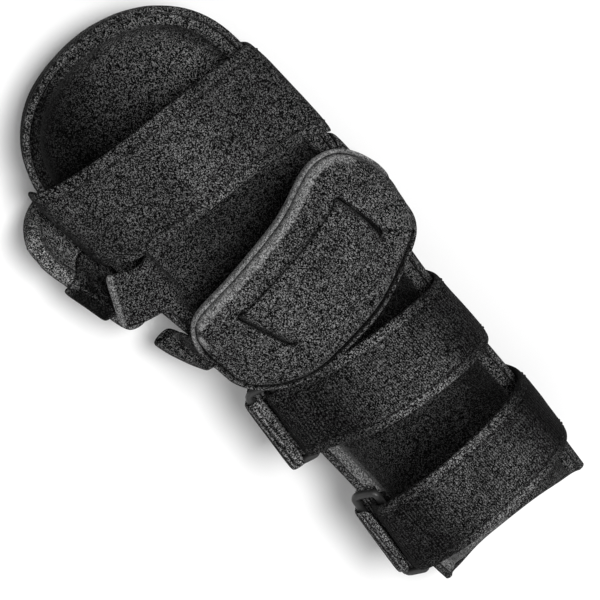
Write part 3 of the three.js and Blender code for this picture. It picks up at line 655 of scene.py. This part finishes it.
# %% [markdown]
# A narrow strap goes through the wrist pad's two slots, and its folded end stands out as a tab at the
# thumb's side. It swells most, so that it fills its slots.

# %% The wrist strap
wrist = smooth_copy("wrist_strap")
wrist_rim = mark_rim(wrist, outline_tree("wrist_strap", 42, ends=False))
mark_length(wrist)
unevenness(wrist, wrist_rim, swell=0.6, wave=0.2, seed=2.4)
dress(wrist, "wrist_strap", wrist_cloth)

# %% [markdown]
# The thumb's band is folded over once, and the fold shows as a pale line across it. The line could be a
# thin piece of its own, but it has no thickness to be seen. It is marked on the mesh instead, from its
# two end points seen from above, by each vertex's distance to the straight line between them.

# %% The thumb's band
FOLD_START = np.array([89.6, 50.7]) * MM
FOLD_END = np.array([67.0, 61.0]) * MM
FOLD_HALF_WIDTH = 1.4
thumb = smooth_copy("thumb_strap")
thumb_rim = mark_rim(thumb, outline_tree("thumb_strap", 40))
fold_way = (FOLD_END - FOLD_START) / np.linalg.norm(FOLD_END - FOLD_START)
from_fold = coordinates(thumb)[:, :2] - FOLD_START
off_fold = np.abs(from_fold[:, 0] * fold_way[1] - from_fold[:, 1] * fold_way[0]) / MM
keep_values(thumb, "pale_band", 0.7 * (1 - np.clip((off_fold - FOLD_HALF_WIDTH) / 0.8, 0, 1)))
unevenness(thumb, thumb_rim, swell=0.1, wave=0.35, seed=6.3)
dress(thumb, "thumb_strap", thumb_strap_cloth)

# %% [markdown]
# The wrist pad's tape, and the pad's own edge under it, are painted pale on their side towards the
# fingers, which faces the light: painted light, which fades out round their two ends. So each vertex is
# given a number from 0 at the elbow's side of the pad to 1 at the fingers' side.
# The angle round the arm is cut into narrow bins. In each bin the pad has a front and a back, and a
# vertex's place between them gives its number. The tape and the pad's own edge under it both use it.
#
# The pad has two slots, and the strap comes up out of one and goes down into the other. Shade is painted
# into the cloth of both just around the slots. A slot's edge is a sharp edge of the pad that lies well
# away from its tape.

# %% The pad's painted light towards the fingers and painted shade round its slots
BINS = 60
LEAST_HALF_WIDTH = 4 * MM


def finger_side(place, pad_place):
    low, high = round_arm(pad_place).min(), round_arm(pad_place).max()
    share = lambda points: (round_arm(points) - low) / (high - low) * BINS - 0.5
    bins = np.clip(np.round(share(pad_place)).astype(int), 0, BINS - 1)
    filled = [i for i in range(BINS) if np.any(bins == i)]
    front = np.interp(share(place), filled, [pad_place[bins == i, 0].max() for i in filled])
    back = np.interp(share(place), filled, [pad_place[bins == i, 0].min() for i in filled])
    off_middle = (place[:, 0] - (front + back) / 2) / np.maximum((front - back) / 2, LEAST_HALF_WIDTH)
    return np.clip((off_middle - 0.25) / 0.3, 0, 1)


FROM_TAPE_TO_SLOT = 8 * MM
tape_tree = outline_tree("wrist_pad_binding", 30)


def slot_tree(**which):
    points = sharp_points("wrist_pad", 40, **which)
    return tree_of([p for p in points if tape_tree.find(p)[2] > FROM_TAPE_TO_SLOT])


slot_ends = slot_tree(sides=False)
slot_sides = slot_tree(ends=False)


# Painted shade round the slots' ends and sides.
def painted_shade_by_slots(obj):
    at_ends = 1 - np.clip((distances(obj, slot_ends) - 0.5) / 0.9, 0, 1)
    at_sides = 1 - np.clip((distances(obj, slot_sides) - 0.3) / 0.9, 0, 1)
    return -np.maximum(0.95 * at_ends, 0.6 * at_sides)


# %% [markdown]
# The wrist pad is the saddle over the back of the wrist, and the softest piece: cloth on both faces of a
# foam sheet. It is remeshed, blown up, and made uneven.

# %% The wrist pad and its tape
TAPE_WIDTH = 2.6
pad = remeshed("wrist_pad", cell=0.9, passes=12)
pad_rim = mark_rim(pad, outline_tree("wrist_pad", 40))
swollen(pad, pad_rim, hold=1.4, cap=1.2)
unevenness(pad, pad_rim, swell=0.3, wave=0.5, seed=4.4)
pad_place = coordinates(pad)
off_slots = distances(pad, slot_tree())
under_tape = (1 - np.clip((pad_rim - TAPE_WIDTH) / 0.6, 0, 1)) * (off_slots > 5)
# Painted light on the pad's edge towards the fingers.
keep_values(pad, "pale_band", under_tape * finger_side(pad_place, pad_place))
keep_values(pad, "painted_shading", painted_shade_by_slots(pad))
dress(pad, "wrist_pad", pad_cloth)

pad_tape = smooth_copy("wrist_pad_binding", 2)
pad_tape_rim = mark_rim(pad_tape, outline_tree("wrist_pad_binding", 30))
unevenness(pad_tape, np.full_like(pad_tape_rim, FAR_FROM_SEAMS), swell=0.4, wave=0.1, seed=9.2)
# Painted light on the tape's side towards the fingers.
keep_values(pad_tape, "pale_band", finger_side(coordinates(pad_tape), pad_place))
dress(pad_tape, "wrist_pad_binding", pad_tape_cloth)

# Painted shade round the slots on the wrist strap too.
keep_values(wrist, "painted_shading", painted_shade_by_slots(wrist))

# %% [markdown]
# The thumb lies on a padded lobe beside the pan, sewn round its edge. Its CAD solid is even enough to be
# blown up without a remesh. A dark band of cloth lines it. In the picture the band opens towards the
# wrist in a hollow where no light comes in. The hollow's edges are hidden, so it is given by shading: the
# band turns dark away from the pan, except near the fingers and along its own edge.

# %% The thumb rest and its cuff
lobe = smooth_copy("thumb_rest")
lobe_rim = mark_rim(lobe, outline_tree("thumb_rest", 36))
swollen(lobe, lobe_rim, hold=1.5, cap=1.0)
unevenness(lobe, lobe_rim, swell=0.3, wave=0.6, seed=8.8)
dress(lobe, "thumb_rest", lobe_cloth)
stitched(lobe, "thumb_rest", 3.2)

HOLLOW_Y, HOLLOW_X = 51, 96
cuff = smooth_copy("thumb_cuff")
cuff_rim = mark_rim(cuff, outline_tree("thumb_cuff", 40))
unevenness(cuff, cuff_rim, swell=0.2, wave=0.6, seed=0.7)
cuff_place = coordinates(cuff) / MM
outwards = np.clip((cuff_place[:, 1] - HOLLOW_Y) / 7, 0, 1)
towards_wrist = np.clip((HOLLOW_X - cuff_place[:, 0]) / 6, 0, 1)
keep_values(cuff, "painted_shading", -0.9 * outwards * towards_wrist * np.clip(cuff_rim, 0.3, 1))
dress(cuff, "thumb_cuff", cuff_cloth)

# %% [markdown]
# Each forearm strap goes through a plastic ring, and a piece of ribbed webbing ties the ring to the
# trough's side. The webbing fills the ring's opening from end to end. The CAD's stays clear of the ring,
# so here it is spread a little wider. Under each ring lies one more layer, the webbing's turned-in end.
# It is a flat double sheet in the plane of the ring. The ring's own three directions give that plane:
# they are found by a singular value decomposition of its vertices, which sorts directions by how far a
# shape reaches along them.

# %% The rings and their webbing
WEB_SPREAD = 1.12
WEB_SHIFT = 0.8
TONGUE_DROP = 2.4
TONGUE_THICKNESS = 1.1
END_INSET, SIDE_INSET = 1.0, 2.6


def ring_tongue(side, ring):
    place = coordinates(ring)
    middle = place.mean(axis=0)
    ways = np.linalg.svd(place - middle, full_matrices=False)[2]
    long, short, up = ways[0], ways[1], ways[2] * np.sign(ways[2][2])
    half_long = np.abs((place - middle) @ long).max() - END_INSET * MM
    half_short = np.abs((place - middle) @ short).max() - SIDE_INSET * MM
    rows, columns = 6, 20
    across = [middle + short * half_short * (2 * j / rows - 1) for j in range(rows + 1)]
    verts = [
        start + long * half_long * (2 * i / columns - 1) - up * drop * MM
        for drop in (TONGUE_DROP, TONGUE_DROP + TONGUE_THICKNESS)
        for start in across
        for i in range(columns + 1)
    ]
    layer = (rows + 1) * (columns + 1)
    starts = [j * (columns + 1) + i for j in range(rows) for i in range(columns)]
    top = [(a, a + 1, a + columns + 2, a + columns + 1) for a in starts]
    under = [tuple(v + layer for v in reversed(face)) for face in top]
    mesh = bpy.data.meshes.new("tongue_" + side)
    mesh.from_pydata([tuple(v) for v in verts], [], top + under)
    return new_object("tongue_" + side, mesh)


for side in ("distal", "proximal"):
    ring = smooth_copy("ring_" + side, 2)
    dress(ring, "ring_" + side, ring_plastic)
    tongue = ring_tongue(side, ring)
    keep_values(tongue, "rim", np.full(len(tongue.data.vertices), float(FAR_FROM_SEAMS)))
    mark_length(tongue)
    tongue.data.materials.append(web_cloth)
    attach(tongue, "root")
    web = smooth_copy("ring_web_" + side)
    mark_rim(web, outline_tree("ring_web_" + side, 40))
    mark_length(web)
    place = coordinates(web)
    middle = place[:, 0].mean()
    place[:, 0] = middle + (place[:, 0] - middle) * WEB_SPREAD - WEB_SHIFT * MM
    web.data.vertices.foreach_set("co", place.ravel())
    dress(web, "ring_web_" + side, web_cloth)
    print("ring", side, "with", len(tongue.data.polygons), "faces in its tongue")

# %% [markdown]
# The stage is a plain pale floor that reaches past the picture's edges. The picture's light is soft, with
# the straps' tops pale and their ends dark. One large disk almost overhead gives that, a weak one from
# the thumb's side opens the shadows there, and a white world fills in the rest. A smaller light would
# cast hard shadows.

# %% Floor and light
floor_material = Nodes("floor_paint")
floor_place = floor_material.node("ShaderNodeTexCoord").outputs["Object"]
floor_grain = floor_material.noise(floor_place, 40, 2.0)
floor_material.feed(
    floor_material.surface.inputs["Base Color"],
    floor_material.mix(floor_grain, grey(0.9), grey(0.92)),
)
floor_material.feed(floor_material.surface.inputs["Roughness"], 0.9)
floor_mesh = bpy.data.meshes.new("floor")
FLOOR = 4.0
floor_mesh.from_pydata(
    [(-FLOOR, -FLOOR, 0), (FLOOR, -FLOOR, 0), (FLOOR, FLOOR, 0), (-FLOOR, FLOOR, 0)], [], [(0, 1, 2, 3)]
)
floor = new_object("floor", floor_mesh)
floor.data.materials.append(floor_material.material)
floor.location.z = -0.05 * MM

world = bpy.data.worlds.new("studio")
world.use_nodes = True
world.node_tree.nodes["Background"].inputs["Color"].default_value = (1, 1, 1, 1)
world.node_tree.nodes["Background"].inputs["Strength"].default_value = 0.5
bpy.context.scene.world = world


def area_light(name, place, aim, size, power):
    data = bpy.data.lights.new(name, "AREA")
    data.shape = "DISK"
    data.size = size
    data.energy = power
    light = bpy.data.objects.new(name, data)
    bpy.context.scene.collection.objects.link(light)
    light.location = place
    light.rotation_euler = (Vector(aim) - Vector(place)).to_track_quat("-Z", "Y").to_euler()


STRAP_HEIGHT = (0, 0, 0.03)
area_light("key", place=(0.5, -0.35, 2.2), aim=STRAP_HEIGHT, size=1.1, power=42)
area_light("fill", place=(-0.2, 0.9, 0.9), aim=STRAP_HEIGHT, size=0.9, power=1.5)
print("lights:", [light.name for light in bpy.data.lights])

# %% [markdown]
# The camera stands about a metre away, above the fingers' side. Its place and turn were worked out from
# where the straps' ends and the pan's outline lie in the picture. It is given as three directions: what
# the picture shows to the right, what it shows downwards, and where the camera looks. A Blender camera
# looks along its own minus z with y upwards, so two of them change sign.

# %% Camera
camera_data = bpy.data.cameras.new("camera")
camera_data.sensor_width = 36
camera_data.lens = 132
camera = bpy.data.objects.new("camera", camera_data)
bpy.context.scene.collection.objects.link(camera)
right = Vector((-0.59637583, -0.70879674, 0.3767533))
down = Vector((-0.65592031, 0.70086534, 0.28027902))
ahead = Vector((-0.46271419, -0.07996851, -0.88289332))
turn = Matrix((right, -down, -ahead)).transposed().to_4x4()
camera.matrix_world = Matrix.Translation((0.464521, 0.073940, 0.891535)) @ turn
bpy.context.scene.camera = camera
bpy.context.scene.view_settings.view_transform = "Standard"
print("camera", round(camera.matrix_world.translation.length, 2), "m from the middle of the splint")

# %% [markdown]
# At the end the view layer is brought up to date once more.

# %% The end
bpy.context.view_layer.update()
